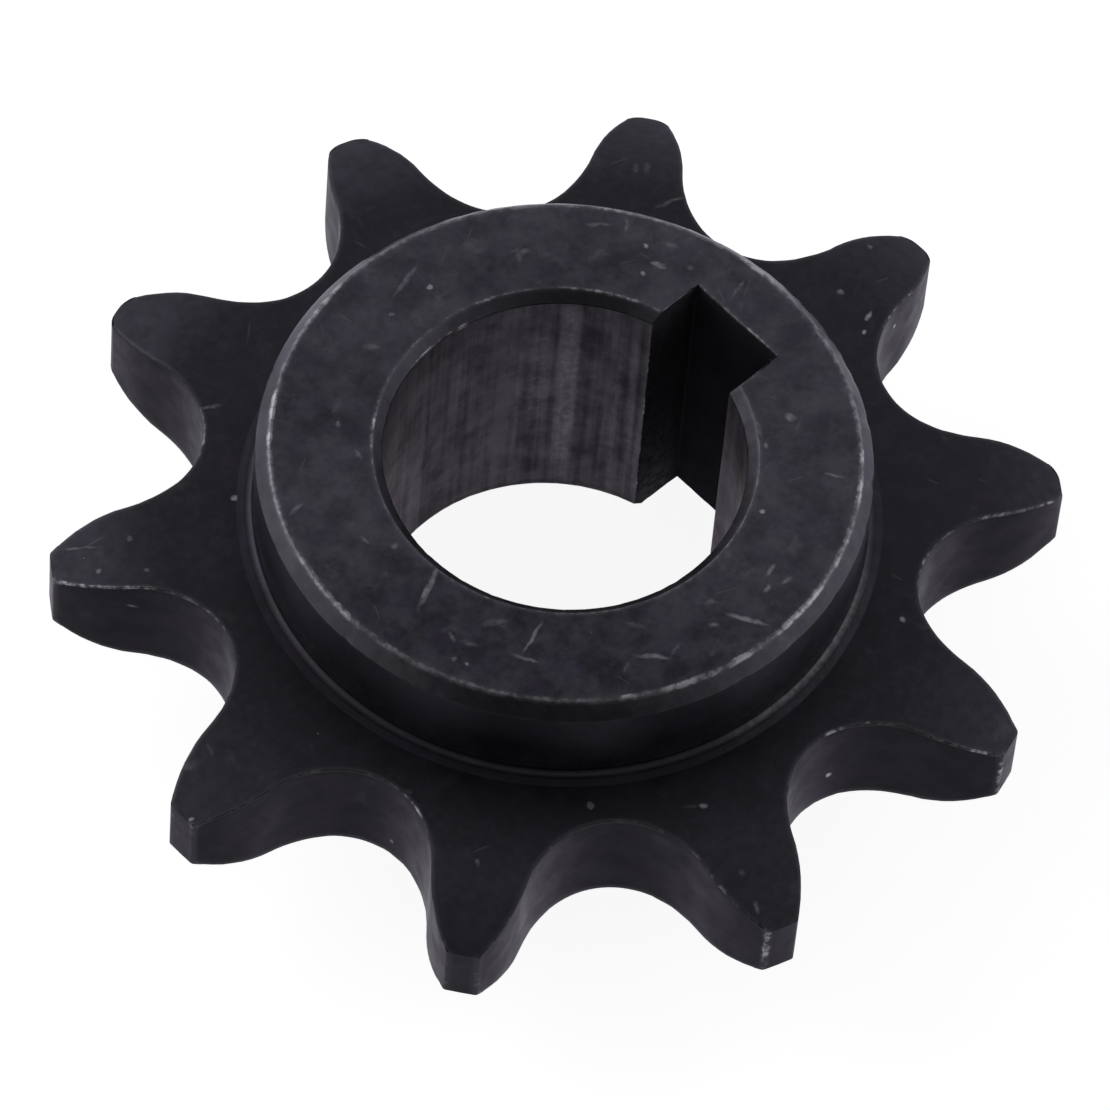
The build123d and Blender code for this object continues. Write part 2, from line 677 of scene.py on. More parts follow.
class SteelPainter:
    """Draws the patterns of one steel finish into a node tree. Every size is in millimetres."""

    noise_middle: tuple[float, float, float] = (0.5, 0.5, 0.5)
    wobble_size: float = 0.5
    wobble_detail: float = 2.0
    wobble_reach: float = 0.3
    sparse_share: float = 0.6
    nick_rim: float = 0.35
    line_detail: float = 3.0
    line_roughness: float = 0.55

    def __init__(self, tree: bpy.types.NodeTree) -> None:
        """Starts from the object's own coordinates, turned into millimetres.

        Args:
            tree: The material's node tree.
        """
        self.add = partial(add_node, tree)
        metres = self.add("TexCoord").outputs["Object"]
        self.place = self.add("VectorMath", {0: metres, "Scale": 1 / MM}, operation="SCALE")
        waves = {"Vector": self.place, "Scale": 1 / self.wobble_size, "Detail": self.wobble_detail}
        wobble = self.add("TexNoise", waves).outputs["Color"]
        shift = self.add("VectorMath", {0: wobble, 1: self.noise_middle}, operation="SUBTRACT")
        pushed = {0: shift, 1: (self.wobble_reach,) * 3, 2: self.place}
        self.ragged = self.add("VectorMath", pushed, operation="MULTIPLY_ADD")
        flat = self.add("VectorMath", {0: self.place, 1: (1.0, 1.0, 0.0)}, operation="MULTIPLY")
        self.radius = self.add("VectorMath", {0: flat}, operation="LENGTH").outputs["Value"]

    def patches(self, look: Patches, size: float = 0.0) -> Feed:
        """Scatters soft patches.

        Args:
            look: How they are spaced and how full they are.
            size: A spacing to use in place of the look's own.

        Returns:
            0 outside the patches, up to 1 inside.
        """
        cloud = self.add(
            "TexNoise",
            {
                "Vector": self.place,
                "W": look.seed,
                "Scale": 1 / (size or look.size),
                "Detail": look.detail,
                "Roughness": look.roughness,
            },
            noise_dimensions="4D",
        )
        return self.add("MapRange", {0: cloud, 1: look.low, 2: look.high}, **EASED)

    def hairlines(self, angle: float, length: float, width: float, share: float) -> Feed:
        """Scatters fine scratches that all run one way.

        Args:
            angle: Their direction in the plate's plane.
            length: How long a scratch is.
            width: How wide a scratch is.
            share: How many of the places for a scratch hold one.

        Returns:
            0 off the scratches, up to 1 on them.
        """
        laid = self.add(
            "Mapping",
            {"Vector": self.place, "Rotation": (0.0, 0.0, radians(angle)), "Scale": (length, width, 1.0)},
            vector_type="TEXTURE",
        )
        cells = self.add("TexVoronoi", {"Vector": laid, "Scale": 1.0}, voronoi_dimensions="2D")
        chance = self.add("SeparateColor", {0: cells.outputs["Color"]})
        limits = {0: chance, 1: 1 - share, 2: 1 - self.sparse_share * share}
        held = self.add("MapRange", limits, **EASED)
        line = self.add("MapRange", {0: cells} | HAIRLINE_RIM, **EASED)
        return self.add("Math", {0: line, 1: held}, operation="MULTIPLY")

    def nicks(self, spacing: float, radius: float, seed: float) -> Feed:
        """Scatters small dents of different sizes.

        Args:
            spacing: How far apart the dents are.
            radius: Radius of the largest dent.
            seed: Moves the pattern.

        Returns:
            0 off the dents, up to 1 on them.
        """
        reach = radius / spacing
        moved = self.add("VectorMath", {0: self.ragged, 1: (seed, seed, seed)}, operation="ADD")
        cells = self.add("TexVoronoi", {"Vector": moved, "Scale": 1 / spacing})
        chance = self.add("SeparateColor", {0: cells.outputs["Color"]})
        size = self.add("MapRange", {0: chance, 4: reach} | NICK_CHANCE, **EASED)
        inside = self.add("Math", {0: size, 1: cells}, operation="SUBTRACT")
        return self.add("MapRange", {0: inside, 2: self.nick_rim * reach}, **EASED)

    def mark(self, mark: Mark) -> Feed:
        """Draws one mark as a slim ellipse with a ragged rim.

        Args:
            mark: Its place and size.

        Returns:
            0 off the mark, up to its strength on it.
        """
        local = self.add(
            "Mapping",
            {
                "Vector": self.ragged,
                "Location": (mark.x, mark.y, mark.height),
                "Rotation": (0.0, 0.0, radians(mark.angle)),
                "Scale": (mark.length / 2, mark.width / 2, mark.depth / 2),
            },
            vector_type="TEXTURE",
        )
        away = self.add("VectorMath", {0: local}, operation="LENGTH").outputs["Value"]
        return self.add("MapRange", {0: away, 4: mark.strength} | MARK_RIM, **EASED)

    def drawn(self, tool: ToolMarks) -> Feed:
        """Draws the marks that a tool leaves along its travel.

        Args:
            tool: Their size, direction and strength.

        Returns:
            Values about 0, darker where they are higher.
        """
        laid = self.add("VectorMath", {0: self.place, 1: tool.squeeze}, operation="MULTIPLY")
        waves = {
            "Vector": laid,
            "Scale": 1 / tool.size,
            "Detail": self.line_detail,
            "Roughness": self.line_roughness,
        }
        lines = self.add("TexNoise", waves)
        levels = {0: lines, 3: -tool.strength, 4: tool.strength} | TOOL_LINES
        return self.add("MapRange", levels, **EASED)

    def strongest(self, masks: list[Feed]) -> Feed:
        """Joins masks by taking the strongest at each point.

        Args:
            masks: At least one mask.

        Returns:
            The joined mask.
        """
        joined = masks[0]
        for mask in masks[1:]:
            joined = self.add("Math", {0: joined, 1: mask}, operation="MAXIMUM")
        return joined


@dataclass(frozen=True)
class BlackOxideSteel:
    """Black-oxide machined steel: a thin dark bluish skin that mirrors softly and never looks painted.

    The skin is thicker in patches. Where it's rubbed away, the bare steel shows pale and brighter. The
    real grain and hairlines are too fine to show, so their sizes here are as coarse as they need to be.
    """

    name: str
    # Painted shade takes the skin towards the thick skin's colour, and painted highlights towards the bare
    # steel's colour.
    thin_skin: str
    thick_skin: str
    bare: str = "918f96"
    skin_roughness: float = 0.42
    bare_roughness: float = 0.32
    duller: float = 0.06
    glossier: float = 0.05
    tinge: str = "3b3446"
    tinge_share: float = 0.3
    grazing_tint: str = "e6e3ec"
    patch_size: float = 2.4
    shielded_share: float = 0.45
    skin_gain: float = 0.5
    grain_size: float = 0.3
    grain_depth: float = 0.5
    pit_strength: float = 0.5
    pit_depth: float = 0.006
    rubbed_radii: tuple[float, float] = (0.0, 0.0)
    crest_radius: float = 0.0
    crest_fade: float = 0.2
    crest_wear: float = 0.022
    fray: float = 0.22
    fringe: float = 0.06
    edge_floor: float = 0.4
    edge_places: tuple[Mark, ...] = ()
    scuff_size: float = 0.0
    scuff_share: float = 0.35
    hairline_angles: tuple[float, ...] = ()
    hairline_length: float = 1.0
    hairline_growth: float = 0.3
    hairline_width: float = 0.14
    hairline_share: float = 0.005
    hairline_strength: float = 0.08
    nick_spacing: float = 0.0
    nick_radius: float = 0.1
    nick_seed: float = 5.0
    nick_strength: float = 0.6
    tool_marks: tuple[ToolMarks, ...] = ()
    marks: tuple[Mark, ...] = ()
    stains_and_shade: tuple[Mark, ...] = ()

    def skin(self, painter: SteelPainter) -> Feed:
        """Draws the oxide skin, thin and thick in patches, with a fine grain, and the stains and painted
        shade that darken it.

        Args:
            painter: The painter of this material's tree.

        Returns:
            The skin's colour.
        """
        skin = painter.patches(OXIDE, self.patch_size)
        if self.rubbed_radii[1]:
            near, far = self.rubbed_radii
            shield = painter.add("MapRange", {0: painter.radius, 1: near, 2: far, 3: 1.0, 4: 0.0}, **EASED)
            shielded = {0: skin, 1: self.shielded_share, 2: shield}
            skin = painter.add("Math", shielded, operation="MULTIPLY_ADD")
        layers = [(painter.patches(GRAIN, self.grain_size), self.grain_depth)]
        layers += [(painter.mark(darkening), 1.0) for darkening in self.stains_and_shade]
        layers += [(painter.drawn(tool), 1.0) for tool in self.tool_marks]
        for layer, depth in layers:
            skin = painter.add("Math", {0: layer, 1: depth, 2: skin}, operation="MULTIPLY_ADD")
        thickness_and_shade = painter.add("Math", {0: skin, 1: self.skin_gain}, operation="MULTIPLY")
        tinged = painter.add("Math", {0: painter.patches(TINGE), 1: self.tinge_share}, operation="MULTIPLY")
        colour = linear(self.thin_skin)
        for share, over in ((thickness_and_shade, self.thick_skin), (tinged, self.tinge)):
            mixed = painter.add("Mix", {0: share, 6: colour, 7: linear(over)}, data_type="RGBA")
            colour = mixed.outputs[2]
        return colour

    def edges(self, painter: SteelPainter) -> Feed:
        """Draws the broken line of bare steel along the edges, and the dull fringe beside it.

        Args:
            painter: The painter of this material's tree.

        Returns:
            0 on the skin, up to 1 on bare steel.
        """
        close = painter.add("Attribute", attribute_name=WEAR).outputs["Fac"]
        level = painter.add("MapRange", {0: painter.patches(EDGE_STRETCHES)} | STRETCH_LEVELS, **EASED)
        if self.edge_places:
            spots = painter.strongest([painter.mark(place) for place in self.edge_places])
            rubbed = painter.add("MapRange", {0: spots, 3: self.edge_floor} | RUBBED_LEVELS, **EASED)
            level = painter.add("Math", {0: level, 1: rubbed}, operation="MULTIPLY")
        fine = painter.patches(EDGE_FRAYS)
        frayed = painter.add("Math", {0: fine, 1: self.fray, 2: close}, operation="MULTIPLY_ADD")
        full = painter.add("MapRange", {0: fine} | FRAY_LEVELS, **EASED)
        bare = painter.add("MapRange", {0: frayed} | BARE_LINE, **EASED)
        line = painter.add("Math", {0: bare, 1: full}, operation="MULTIPLY")
        beside = painter.add("MapRange", {0: close} | DULL_FRINGE, **EASED)
        shares = ((line, level), (beside, self.fringe))
        return painter.strongest(
            [painter.add("Math", {0: mask, 1: share}, operation="MULTIPLY") for mask, share in shares]
        )

    def wear_and_highlights(self, painter: SteelPainter) -> Feed:
        """Draws where the skin is rubbed through to bare steel, and the painted highlights and painted
        light that take the bare steel's colour.

        Args:
            painter: The painter of this material's tree.

        Returns:
            0 on the skin, up to 1 on bare steel.
        """
        layers = []
        if self.crest_radius:
            limits = {0: painter.radius, 1: self.crest_radius, 2: self.crest_radius + self.crest_fade}
            layers.append((painter.add("MapRange", limits, **EASED), self.crest_wear))
        if self.scuff_size:
            layers.append((painter.patches(SCUFFS, self.scuff_size), self.scuff_share))
        for number, angle in enumerate(self.hairline_angles):
            length = self.hairline_length + self.hairline_growth * number
            lines = painter.hairlines(angle, length, self.hairline_width, self.hairline_share)
            layers.append((lines, self.hairline_strength))
        if self.nick_spacing:
            nicks = painter.nicks(self.nick_spacing, self.nick_radius, self.nick_seed)
            layers.append((nicks, self.nick_strength))
        if self.marks:
            drawn = painter.strongest([painter.mark(mark) for mark in self.marks])
            broken = {0: painter.patches(MARK_BREAKS)} | BREAK_LEVELS
            layers.append((drawn, painter.add("MapRange", broken, **EASED)))
        masks = [painter.add("Math", {0: mask, 1: share}, operation="MULTIPLY") for mask, share in layers]
        return painter.strongest([self.edges(painter), *masks])

    def build(self) -> bpy.types.Material:
        """Makes the material.

        Returns:
            The material, with its node tree.
        """
        material = bpy.data.materials.new(self.name)
        material.use_nodes = True
        tree = material.node_tree
        painter = SteelPainter(tree)
        wear_and_highlights = self.wear_and_highlights(painter)
        mixed = {0: wear_and_highlights, 6: self.skin(painter), 7: linear(self.bare)}
        colour = painter.add("Mix", mixed, data_type="RGBA").outputs[2]
        glossy, dull = self.skin_roughness - self.glossier, self.skin_roughness + self.duller
        sheen = painter.add("MapRange", {0: painter.patches(SHEEN), 3: glossy, 4: dull}, **EASED)
        rough = painter.add("Mix", {0: wear_and_highlights, 2: sheen, 3: self.bare_roughness}, data_type="FLOAT")
        pits = {
            "Strength": self.pit_strength,
            "Distance": self.pit_depth * MM,
            "Height": painter.patches(PITS),
        }
        shader = tree.nodes["Principled BSDF"]
        shader.inputs["Metallic"].default_value = 1.0
        shader.inputs["Specular Tint"].default_value = linear(self.grazing_tint)
        tree.links.new(colour, shader.inputs["Base Color"])
        tree.links.new(rough.outputs[0], shader.inputs["Roughness"])
        tree.links.new(painter.add("Bump", pits).outputs[0], shader.inputs["Normal"])
        return material


def looking_rays(tree: bpy.types.NodeTree) -> Feed:
    """Tells rays that look at a surface from rays that only light it.

    Args:
        tree: The node tree that takes the nodes.

    Returns:
        1 for camera, glossy and transmission rays, otherwise 0.
    """
    path = add_node(tree, "LightPath")
    looking = path.outputs["Is Camera Ray"]
    for name in ("Is Glossy Ray", "Is Transmission Ray"):
        looking = add_node(tree, "Math", {0: looking, 1: path.outputs[name]}, operation="MAXIMUM")
    return looking


@dataclass(frozen=True)
class Softbox:
    """A flat studio softbox that faces the sprocket. Its azimuth is counted from the camera."""

    name: str
    azimuth: float
    elevation: float
    distance: float
    width: float
    height: float
    radiance: float

    def build(self, camera_azimuth: float) -> bpy.types.Object:
        """Hangs the lamp, with its power worked out from how bright its face is.

        Args:
            camera_azimuth: The camera's own azimuth.

        Returns:
            The lamp's object.
        """
        lamp = bpy.data.lights.new(self.name, "AREA")
        lamp.shape = "RECTANGLE"
        lamp.size, lamp.size_y = self.width, self.height
        lamp.energy = self.radiance * pi * self.width * self.height
        item = link_object(self.name, lamp)
        away = direction(camera_azimuth + self.azimuth, self.elevation)
        item.location = away * self.distance
        item.rotation_mode = "QUATERNION"
        item.rotation_quaternion = away.to_track_quat("Z", "Y")
        return item


@dataclass(frozen=True)
class Studio:
    """Pale floor, white surround that is open towards the camera, and soft light."""

    camera_azimuth: float
    floor_size: float = 6.0
    floor_colour: str = "d8d8d9"
    floor_glow: float = 0.9
    floor_ahead: float = 0.05
    floor_drop: float = 0.00002
    backdrop: float = 1.0
    room: float = 0.065
    ceiling: float = 0.5
    fill: float = 0.12
    softboxes: tuple[Softbox, ...] = (
        Softbox("softbox_left", -114.0, 30.0, 0.9, 0.95, 0.8, 1.05),
        Softbox("softbox_right", 112.0, 30.0, 0.9, 0.95, 0.8, 0.35),
    )

    def surround(self) -> None:
        """Sets white backdrops behind and beside the sprocket, and the dark room before it.

        The metal mirrors them as they are. The camera itself sees white all round.
        """
        world = bpy.data.worlds.new("studio_surround")
        bpy.context.scene.world = world
        world.use_nodes = True
        tree = world.node_tree
        tree.nodes.clear()
        heading = add_node(tree, "TexCoord").outputs["Generated"]
        ahead = {0: heading, 1: direction(self.camera_azimuth, 0.0)}
        facing = add_node(tree, "VectorMath", ahead, operation="DOT_PRODUCT").outputs["Value"]
        walls = add_node(tree, "MapRange", {0: facing, 3: self.backdrop, 4: self.room} | ROOM_FADE, **EASED)
        upward = add_node(tree, "SeparateXYZ", {0: heading}).outputs[2]
        overhead = {0: upward, 3: 1.0, 4: self.ceiling} | CEILING_FADE
        ceiling = add_node(tree, "MapRange", overhead, **EASED)
        mirrored = add_node(tree, "Math", {0: walls, 1: ceiling}, operation="MULTIPLY")
        direct = add_node(tree, "LightPath").outputs["Is Camera Ray"]
        shown = add_node(tree, "Mix", {0: direct, 2: mirrored, 3: 1.0}, data_type="FLOAT")
        strength = add_node(tree, "Mix", {0: looking_rays(tree), 2: self.fill, 3: shown}, data_type="FLOAT")
        light = add_node(tree, "Background", {"Color": WHITE, "Strength": strength})
        add_node(tree, "OutputWorld", {"Surface": light})

    def paper(self) -> bpy.types.Material:
        """Makes the matt paper, which glows only for the rays that look at it, so that it shows white.

        Returns:
            The paper's material.
        """
        material = bpy.data.materials.new("matt_white_paper")
        material.use_nodes = True
        tree = material.node_tree
        tree.nodes.clear()
        matt = add_node(tree, "BsdfDiffuse", {"Color": linear(self.floor_colour), "Roughness": 1.0})
        glow = add_node(tree, "Emission", {"Color": WHITE, "Strength": self.floor_glow})
        lit = add_node(tree, "AddShader", {0: matt, 1: glow})
        seen = add_node(tree, "MixShader", {0: looking_rays(tree), 1: matt, 2: lit})
        add_node(tree, "OutputMaterial", {"Surface": seen})
        return material

    def floor(self) -> bpy.types.Object:
        """Lays the paper that the rear hub stands on. It ends a little way towards the camera.

        Returns:
            The floor's object.
        """
        bm = bmesh.new()
        half = self.floor_size / 2
        bmesh.ops.create_grid(bm, x_segments=1, y_segments=1, size=half)
        front = [vert for vert in bm.verts if vert.co.y < 0]
        bmesh.ops.translate(bm, verts=front, vec=(0, half - self.floor_ahead, 0))
        bmesh.ops.rotate(bm, verts=bm.verts, matrix=Matrix.Rotation(radians(self.camera_azimuth), 3, "Z"))
        bmesh.ops.translate(bm, verts=bm.verts, vec=(0, 0, -self.floor_drop))
        mesh = bpy.data.meshes.new("studio_floor")
        bm.to_mesh(mesh)
        bm.free()
        mesh.materials.append(self.paper())
        item = link_object("studio_floor", mesh)
        return item

    def build(self) -> None:
        """Builds the whole studio."""
        self.surround()
        self.floor()
        for box in self.softboxes:
            box.build(self.camera_azimuth)


@dataclass(frozen=True)
class StillCamera:
    """A long lens that looks down on the front hub. The clip distances are metres."""

    azimuth: float = 42.08
    elevation: float = 57.16
    roll: float = 5.31
    distance: float = 453.9
    lens: float = 320.06
    sensor: float = 36.0
    clip_start: float = 0.01
    clip_end: float = 20.0
    aim_height: float = 5.1
    aim_right: float = 0.06
    aim_up: float = 1.10

    def build(self) -> bpy.types.Object:
        """Places the camera and makes it the scene's own.

        Returns:
            The camera's object.
        """
        a, r = radians(self.azimuth), radians(self.roll)
        back = direction(self.azimuth, self.elevation)
        level = Vector((cos(a), sin(a), 0.0))
        upright = back.cross(level)
        right = cos(r) * level + sin(r) * upright
        up = cos(r) * upright - sin(r) * level
        aim = Vector((0, 0, self.aim_height)) + right * self.aim_right + up * self.aim_up
        data = bpy.data.cameras.new("still_camera")
        data.lens, data.sensor_width = self.lens, self.sensor
        data.clip_start, data.clip_end = self.clip_start, self.clip_end
        camera = link_object("still_camera", data)
        camera.matrix_world = Matrix.Translation((aim + back * self.distance) * MM) @ Matrix(
            (right, up, back)
        ).transposed().to_4x4()
        bpy.context.scene.camera = camera
        return camera


def marks(*rows: tuple[float, ...]) -> tuple[Mark, ...]:
    """Turns rows of numbers into marks. A row's numbers come in the order of a mark's fields."""
    return tuple(Mark(*row) for row in rows)


# Scratches and dents on the end face; the last, broad and faint, is painted light along its back rim.
FACE_MARKS_AND_LIGHT = marks(
    (-11.5, 0.8, 105, 1.9, 0.24, 0.35), (-10.5, 1.4, 135, 0.2, 0.28, 0.9),
    (-10.6, -0.9, 50, 0.25, 0.22, 0.5), (-9.9, -2.8, 45, 0.8, 0.3, 0.25),
    (-7.8, -6.8, 135, 0.35, 0.22, 0.6), (-6.0, -7.2, 165, 0.6, 0.19, 0.4), (-9.2, 5.9, 50, 0.9, 0.3, 0.3),
    (-9.1, 5.7, 135, 0.8, 0.28, 0.2), (-7.9, 9.6, 45, 1.2, 0.24, 0.35), (-7.0, 10.5, 135, 0.9, 0.19, 0.3),
    (-5.6, 10.4, 50, 0.22, 0.28, 1.4), (-4.6, 9.2, 50, 0.22, 0.28, 1.4), (-4.5, 10.1, 20, 0.7, 0.28, 0.9),
    (-4.9, 11.3, 30, 0.9, 0.3, 0.3), (-3.4, 11.1, 40, 0.35, 0.26, 0.4), (-1.1, 11.9, 105, 1.3, 0.14, 0.3),
    (5.5, 8.8, 35, 0.5, 0.35, 0.7), (5.0, 7.3, 150, 0.9, 0.2, 0.3), (5.9, 6.9, 50, 0.2, 0.25, 0.8),
    (8.3, 4.3, 50, 0.24, 0.26, 1.8), (9.1, 8.1, 30, 0.9, 0.17, 0.5), (-5.7, -11.3, 95, 0.8, 0.26, 0.4),
    (-2.4, -10.1, 0, 0.6, 0.2, 0.35), (-1.3, -9.3, 85, 0.35, 0.31, 0.3), (1.3, -9.7, 115, 2.4, 0.28, 0.6),
    (3.9, -10.7, 170, 0.6, 0.2, 0.4), (4.7, -10.3, 25, 0.8, 0.31, 0.25), (4.6, -8.8, 60, 1.2, 0.35, 0.2),
    (4.8, -11.4, 40, 0.3, 0.26, 0.5), (6.3, -8.0, 110, 1.8, 0.19, 0.5), (6.9, -9.0, 30, 1.2, 0.19, 0.5),
    (10.8, 2.4, 105, 0.7, 0.22, 0.8), (11.4, 1.6, 110, 0.5, 0.23, 0.5), (11.7, 2.6, 85, 0.6, 0.26, 0.5),
    (10.2, -0.8, 80, 0.45, 0.31, 0.35), (11.2, -1.5, 50, 0.4, 0.26, 0.4),
    (12.0, -0.2, 30, 1.8, 0.24, 0.7), (10.6, -4.7, 45, 1.5, 0.26, 0.55),
    (11.0, -3.7, 105, 0.9, 0.19, 0.25), (10.2, -6.0, 105, 0.6, 0.2, 0.3),
    (8.9, -4.1, 35, 1.0, 0.26, 0.15), (-4.7, 11.7, 22, 9.0, 2.0, 0.055),
)

PLATE_MARKS = marks(
    (-10.3, -10.6, 100, 0.32, 0.34, 0.9, 10.9), (12.3, -9.8, 0, 0.34, 0.36, 1.1, 10.9),
    (14.6, 7.6, 95, 0.3, 0.28, 0.7, 10.9), (17.5, 2.5, 175, 0.25, 0.28, 0.7, 10.9),
    (-0.1, 18.0, 135, 0.3, 0.3, 0.65, 10.9), (-1.2, 21.0, 175, 0.3, 0.28, 0.25, 10.5),
    (1.7, 18.1, 115, 0.6, 0.22, 1.5, 10.9), (2.2, 17.3, 170, 0.22, 0.25, 1.6, 10.9),
    (-9.0, 15.6, 75, 1.5, 0.17, 0.3, 10.9), (-11.5, 15.8, 135, 0.6, 0.28, 0.2, 10.8),
    (-11.2, 16.2, 135, 0.6, 0.28, 0.2, 10.8), (20.8, -7.6, 155, 0.5, 0.26, 0.35, 10.2),
    (19.2, -7.0, 170, 0.3, 0.28, 0.2, 10.7), (15.3, -6.5, 50, 0.8, 0.17, 0.15, 10.9),
    (15.7, -6.0, 50, 0.4, 0.28, 1.0, 10.9), (-1.2, -20.4, 160, 0.8, 0.2, 0.1, 10.7),
    (-1.4, -21.5, 35, 0.9, 0.5, 0.15, 10.3), (0.5, -23.1, 70, 0.3, 0.18, 1.3, 9.6),
    (-11.9, -15.6, 170, 0.28, 0.28, 0.4, 10.8), (-11.7, -17.7, 170, 0.3, 0.26, 0.33, 10.5),
    (-10.1, -16.2, 170, 0.25, 0.28, 0.3, 10.9), (-13.3, -17.4, 40, 1.8, 0.14, 0.2, 9.9),
    (11.1, -15.6, 160, 0.4, 0.2, 0.3, 10.9), (6.3, -15.4, 15, 0.5, 0.28, 0.15, 10.9),
    (-14.8, -8.2, 60, 1.2, 0.2, 0.3, 10.9),
)

# The three large ellipses are painted shade on the right tooth, the back-right tooth and in front of the
# hub; the two small ones are stains.
PLATE_STAINS_AND_SHADE = marks(
    (19.3, 3.3, 30, 1.7, 0.9, 0.8, 10.9), (18.1, 1.4, 15, 1.0, 0.65, 0.5, 10.9),
    (11.8, -9.2, 50, 6.0, 3.0, 0.3, 10.9), (12.8, 16.0, 54, 11.0, 8.0, 1.0, 10.6),
    (0.1, 20.5, 90, 6.0, 4.0, 0.5, 10.3),
)

# The two broad, faint marks are painted reflections; the others are small spots.
FLANK_MARKS_AND_REFLECTIONS = marks(
    (16.8, 1.1, 0, 0.32, 0.32, 2.2, 7.1, 0.34), (2.2, 19.4, 0, 0.22, 0.22, 1.6, 9.3, 0.25),
    (-9.9, -17.3, 30, 0.5, 0.5, 0.25, 9.2, 0.18), (5.8, -15.7, 0, 0.24, 0.24, 0.5, 6.3, 0.3),
    (12.6, 12.2, 120, 1.8, 1.8, 0.03, 9.3, 3.4), (1.8, 18.6, 100, 5.0, 3.0, 0.014, 8.5, 6.0),
)

# A painted highlight along the fillet's right front.
FILLET_PAINTED_HIGHLIGHT = marks((13.8, 2.9, 102, 18.0, 3.0, 0.16, 11.0, 3.0))

# Painted light: a lighter band round the foot of the wall, and a painted highlight on its right front.
WALL_PAINTED_LIGHT = marks(
    (0.0, 0.0, 0, 90.0, 90.0, 0.13, 11.2, 2.6), (13.8, 2.9, 102, 14.0, 3.0, 0.3, 11.1, 1.8),
    (13.8, 2.9, 102, 16.0, 3.0, 0.04, 13.0, 8.0),
)

CHAMFER_MARKS = marks((4.0, -13.1, 17, 9.0, 2.0, 0.07, 15.6, 3.0))

RUBBED_RIMS = marks(
    (-10.3, -8.6, 130, 3.6, 0.9, 1.0), (-1.8, -13.3, 172, 5.1, 0.9, 0.6),
    (-13.1, -2.8, 102, 3.6, 0.9, 0.8), (11.4, -7.1, 58, 1.0, 0.9, 1.0), (12.7, -4.3, 71, 2.6, 0.9, 0.9),
    (13.3, -1.8, 82, 1.3, 0.9, 0.9), (13.1, 2.8, 102, 5.1, 0.9, 1.0), (11.8, 6.3, 118, 1.0, 0.9, 1.0),
    (10.4, 8.4, 129, 1.3, 0.9, 1.0), (9.3, 9.7, 136, 1.0, 0.9, 0.9), (-1.2, 13.3, 5, 2.6, 0.9, 0.9),
    (-7.7, 11.0, 35, 3.6, 0.9, 0.8), (-8.2, 0.0, 90, 4.6, 0.7, 1.0, 15.5, 1.0),
    (-6.5, -5.8, 131, 2.0, 0.7, 0.9), (-8.4, 2.8, 72, 1.2, 0.7, 0.7), (-5.0, 7.2, 36, 5.0, 0.7, 0.7),
    (-2.5, 8.4, 60, 0.7, 0.7, 1.2), (-2.5, 9.8, 90, 0.8, 0.8, 1.0), (1.2, 10.7, 0, 1.6, 0.7, 0.9),
)

BORE_MARKS = marks(
    (-5.7, 6.0, 43, 1.1, 1.0, 0.2, 9.0, 17.0), (-6.6, 5.0, 52, 1.0, 1.0, 0.13, 9.0, 10.0),
    (-3.8, 7.35, 27, 0.3, 0.8, 0.09, 8.0, 15.0), (-3.1, 7.65, 22, 0.35, 0.8, 0.1, 9.0, 15.0),
    (-7.0, 4.36, 58, 0.9, 1.0, 0.06, 8.0, 6.0), (-2.7, 7.8, 19, 0.2, 0.8, 0.12, 4.0, 8.0),
    (-7.1, 4.2, 60, 0.25, 0.8, 0.1, 8.0, 9.0), (-8.1, 1.3, 81, 0.25, 0.8, 0.08, 11.0, 6.0),
    (-8.0, -2.1, 105, 1.2, 1.0, 0.08, 7.0, 4.0), (5.1, 6.5, 142, 9.0, 1.2, 0.07, 15.2, 1.8),
)

# The first ellipse is a painted shadow just above the floor; the others darken patches and streaks of the
# skin.
BORE_STAINS_AND_SHADE = marks(
    (-5.5, 6.0, 42, 40.0, 40.0, 1.5, 0.3, 1.1), (-4.4, 6.95, 33, 2.2, 1.2, 0.7, 3.5, 10.0),
    (-8.2, -0.4, 87, 4.0, 1.2, 0.5, 3.0, 8.0), (-7.6, -3.2, 113, 4.0, 1.2, 0.6, 10.0, 6.0),
    (-7.0, -4.3, 122, 3.0, 1.2, 0.8, 8.0, 12.0), (4.4, 7.0, 148, 1.8, 1.2, 1.2, 13.0, 3.0),
    (-7.75, -2.8, 110, 2.0, 1.2, 0.8, 5.75, 3.0),
)

RUBBED_EDGES = marks(
    (-10.9, -17.8, 35, 5.6, 1.4, 0.95, 9.8), (-6.8, -16.2, 5, 4.0, 1.4, 0.55, 10.9),
    (-14.2, -9.3, 145, 3.1, 1.2, 0.5, 10.9), (0.0, -23.1, 10, 1.5, 0.9, 0.9, 9.6),
    (6.8, -15.7, 170, 2.4, 1.2, 0.7, 10.9), (14.1, -16.4, 175, 0.7, 0.7, 0.5, 10.4),
    (18.8, -8.2, 5, 5.6, 1.0, 0.3, 10.6), (16.8, 0.8, 85, 1.5, 1.0, 0.7, 10.9),
    (20.6, 4.6, 50, 1.0, 0.8, 1.0, 10.6), (21.8, 5.8, 50, 2.1, 0.8, 0.9, 10.3),
    (13.6, 15.7, 75, 5.6, 1.1, 0.95, 9.9), (13.1, 11.6, 95, 3.2, 1.2, 0.7, 10.9),
    (1.9, 20.3, 95, 0.9, 0.7, 0.9, 10.8), (2.5, 18.5, 115, 2.2, 0.8, 0.4, 10.9),
    (21.9, -7.9, 0, 0.8, 0.8, 0.95, 8.0, 4.5), (22.3, 6.5, 0, 0.7, 0.7, 0.9, 8.2, 4.0),
    (-1.0, -22.9, 0, 0.7, 0.7, 0.8, 7.6, 4.5),
)

